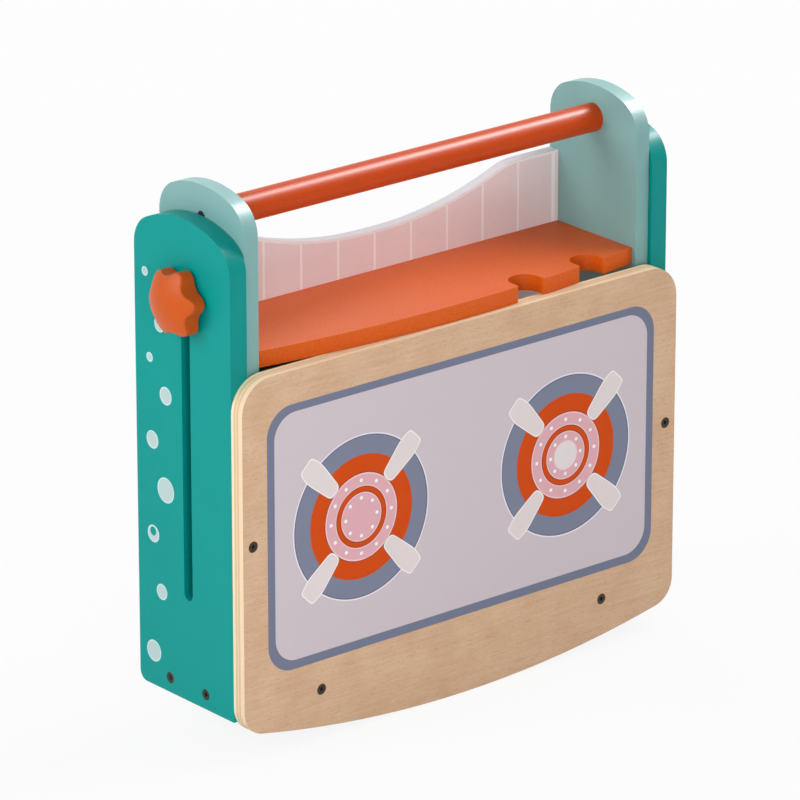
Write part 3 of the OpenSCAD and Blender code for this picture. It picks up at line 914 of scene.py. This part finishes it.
# %% [markdown]
# The caddy: end boards, grip rod, shelf and splashback. The end boards show most of their edge, so
# theirs is the widest rounding. The rod is turned beech with a glossy coat.

# %% End boards and rod
for name in ("left_end_board", "right_end_board"):
    bm = solid_copy(name)
    soften(bm, 1.8, off_slot, segments=4)
    finished(bm, name + "_lacquered", [name], [pale_teal])

finished(solid_copy("carry_rod"), "carry_rod_lacquered", ["carry_rod"], [rod_orange])

# %% [markdown]
# The shelf is a comb of notches that hang kitchen tools. The mouths of the notches are rounded more
# than the other edges, since that is where a child's hand slides a tool in. They are found as the
# upright edges near the shelf's front, and they are rounded before the long edges are.

# %% Shelf
shelf_low, shelf_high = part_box("utensil_shelf")
bm = solid_copy("utensil_shelf")
mouths = [e for e in bm.edges if e.calc_face_angle(0) > math.radians(60)
          and abs(e.verts[0].co.z - e.verts[1].co.z) > 11 * MM
          and abs(e.verts[0].co.x) < shelf_high.x - 2 * MM
          and e.verts[0].co.y < shelf_low.y + 12 * MM]
bmesh.ops.bevel(bm, geom=mouths, offset=2.5 * MM, offset_type="OFFSET", segments=5,
                profile=0.5, affect="EDGES", clamp_overlap=True, material=-1)
soften(bm, 1.0, clear_of_heads)
finished(bm, "utensil_shelf_lacquered", ["utensil_shelf"], [orange])
print("notch mouths rounded:", len(mouths))

# %% [markdown]
# The splashback's print stops two millimetres short of its wavy top edge. Insetting the front face
# gives that border exactly, and the border faces take a brighter white than the board's edges,
# which also paints the highlight along the front top edge.

# %% Splashback
BORDER_MM = 2.0
splash_low, splash_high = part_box("splashback")
bm = solid_copy("splashback")
soften(bm, 0.8, clear_of_heads)
bm.normal_update()
front = [f for f in bm.faces if f.normal.y < -0.99
         and f.calc_center_median().y < splash_low.y + 0.1 * MM]
rim = bmesh.ops.inset_region(bm, faces=front, thickness=BORDER_MM * MM, use_boundary=True,
                             use_even_offset=True)["faces"]
bm.normal_update()
bare = {face for face in rim if face.calc_center_median().z > splash_low.z + 5 * MM
        and abs(face.calc_center_median().x) < splash_high.x - 3 * MM}
# Slot 2, the border, has the white that paints the front top edge's highlight.
finished(bm, "splashback_tiled", ["splashback"], [tiles, white, border_white_and_painted_highlight],
         lambda face: 2 if face in bare else 0 if face.normal.y < -0.99 else 1)

# %% [markdown]
# The hob panel has three finishes on one board: the printed front, the plain back, and the sanded
# ply edge that goes round with the bevel.

# %% Hob panel
bm = solid_copy("front_hob_panel")
soften(bm, 0.8, clear_of_heads, segments=4)


def panel_finish(face):
    """0 for the printed front, 1 for the ply edge, 2 for the back."""
    return 0 if face.normal.y < -0.5 else 2 if face.normal.y > 0.95 else 1


finished(bm, "front_hob_panel_printed", ["front_hob_panel"],
         [printed_birch, sawn_ply, clear_birch], panel_finish)

# %% [markdown]
# The star knobs. A turned shape would be spun from a profile, but a star knob's radius changes
# round the axis. So a ring of points is given the star's radius at each angle, which follows from
# its tip and scallop circles, and the ring is drawn out step by step: up the side, over the rim and
# inward across the dome. The dome is a ball's cap, so its height depends only on the radius.

# %% Star knobs
LOBES = 6
TIP_AT, TIP_R, SCALLOP_R = 18.5, 6.5, 12.0
DOME_RISE, RIM_HEIGHT, KNOB_BASE, BORE_R, BORE_TOP = 9.1, 9.5, 2.1, 6.05, 11.2
KNOB_TOP = KNOB_BASE + RIM_HEIGHT + DOME_RISE
DOME_R = ((TIP_AT + TIP_R) ** 2 + DOME_RISE ** 2) / (2 * DOME_RISE)
KNOB_TURN = math.radians(98)
STEPS = 240

near_k = TIP_AT * math.cos(math.pi / LOBES)
SCALLOP_AT = near_k + math.sqrt(near_k ** 2 - TIP_AT ** 2 + (TIP_R + SCALLOP_R) ** 2)


def star_radius(angle):
    """Distance from the axis to the star's edge, in millimetres."""
    slice_of = 2 * math.pi / LOBES
    a = abs((angle + slice_of / 2) % slice_of - slice_of / 2)
    lean = math.atan2(SCALLOP_AT * math.sin(math.pi / LOBES),
                      SCALLOP_AT * math.cos(math.pi / LOBES) - TIP_AT)
    meet = math.atan2(TIP_R * math.sin(lean), TIP_AT + TIP_R * math.cos(lean))
    if a < meet:
        return TIP_AT * math.cos(a) + math.sqrt(TIP_R ** 2 - (TIP_AT * math.sin(a)) ** 2)
    b = math.pi / LOBES - a
    return SCALLOP_AT * math.cos(b) - math.sqrt(SCALLOP_R ** 2 - (SCALLOP_AT * math.sin(b)) ** 2)


def dome(radius):
    """Height of the knob's face above the board at a distance from the axis."""
    return KNOB_TOP - DOME_R + math.sqrt(DOME_R ** 2 - radius ** 2)


def place_ring(verts, radius, height):
    """Moves a ring of points to the radius and height that two functions of the angle give."""
    for vert in verts:
        angle = math.atan2(vert.co.y, vert.co.x)
        r = radius(angle)
        vert.co = (r * math.cos(angle) * MM, r * math.sin(angle) * MM, height(r) * MM)


def star_knob():
    """The mesh of a knob on the axis +Z, with the board's face at zero."""
    rings = [(lambda a: BORE_R, lambda r: BORE_TOP), (lambda a: BORE_R, lambda r: KNOB_BASE + 0.3),
             (lambda a: BORE_R + 0.3, lambda r: KNOB_BASE),
             (lambda a: star_radius(a) - 0.6, lambda r: KNOB_BASE),
             (lambda a: star_radius(a) - 0.15, lambda r: KNOB_BASE + 0.2),
             (star_radius, lambda r: KNOB_BASE + 0.7),
             (star_radius, dome)]
    for share in (0.88, 0.76, 0.64, 0.52, 0.40, 0.28, 0.16, 0.05):
        rings.append((lambda a, share=share: star_radius(a) * share
                      + (1 - share) * 4 * share, dome))
    bm = bmesh.new()
    verts = bmesh.ops.create_circle(bm, cap_ends=True, segments=STEPS, radius=MM)["verts"]
    edges = bm.edges[:]
    place_ring(verts, *rings[0])
    rim = None
    for number, ring in enumerate(rings[1:], 1):
        grown = bmesh.ops.extrude_edge_only(bm, edges=edges)["geom"]
        verts = [g for g in grown if isinstance(g, bmesh.types.BMVert)]
        edges = [g for g in grown if isinstance(g, bmesh.types.BMEdge)]
        place_ring(verts, *ring)
        if number == 6:
            rim = edges[:]
    bmesh.ops.pointmerge(bm, verts=verts, merge_co=(0, 0, KNOB_TOP * MM))
    bmesh.ops.bevel(bm, geom=rim, offset=1.1 * MM, offset_type="OFFSET", segments=4,
                    profile=0.5, affect="EDGES", clamp_overlap=True, material=-1)
    bmesh.ops.recalc_face_normals(bm, faces=bm.faces)
    return bm


for side, word in ((-1, "left"), (1, "right")):
    bm = star_knob()
    axes = Matrix(((0, 0, side), (0, 1, 0), (-side, 0, 0))).to_4x4()
    face_x = side * abs(side_low.x)
    place = Matrix.Translation((face_x, CLAMP.y, CLAMP.z)) @ axes
    bmesh.ops.transform(bm, matrix=place @ Matrix.Rotation(KNOB_TURN, 4, "Z"), verts=bm.verts)
    finished(bm, word + "_star_knob_moulded", [word + "_star_knob"], [abs_orange])

# %% [markdown]
# The clamp hardware hardly shows, but each side has it: a square-headed bolt, a washer under the
# knob and a brass insert in it. The drawn shapes are right, so each is only
# copied with its corners broken, as stamping and turning leave them.

# %% Clamp hardware
for word in ("left", "right"):
    for part, material in (("clamp_bolt", zinc), ("clamp_washer", zinc), ("knob_insert", brass)):
        bm = solid_copy(f"{word}_{part}")
        soften(bm, 0.2, lambda point: True, segments=2)
        finished(bm, f"{word}_{part}_broken_edges", [f"{word}_{part}"], [material])

# %% [markdown]
# Two boxes are kept: the drawing's own, measured at the start, and that of everything now in the
# scene. Rounding only takes material off, so the second must lie inside the first.

[[list(corner) for corner in box] for box in (cad_box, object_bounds())]
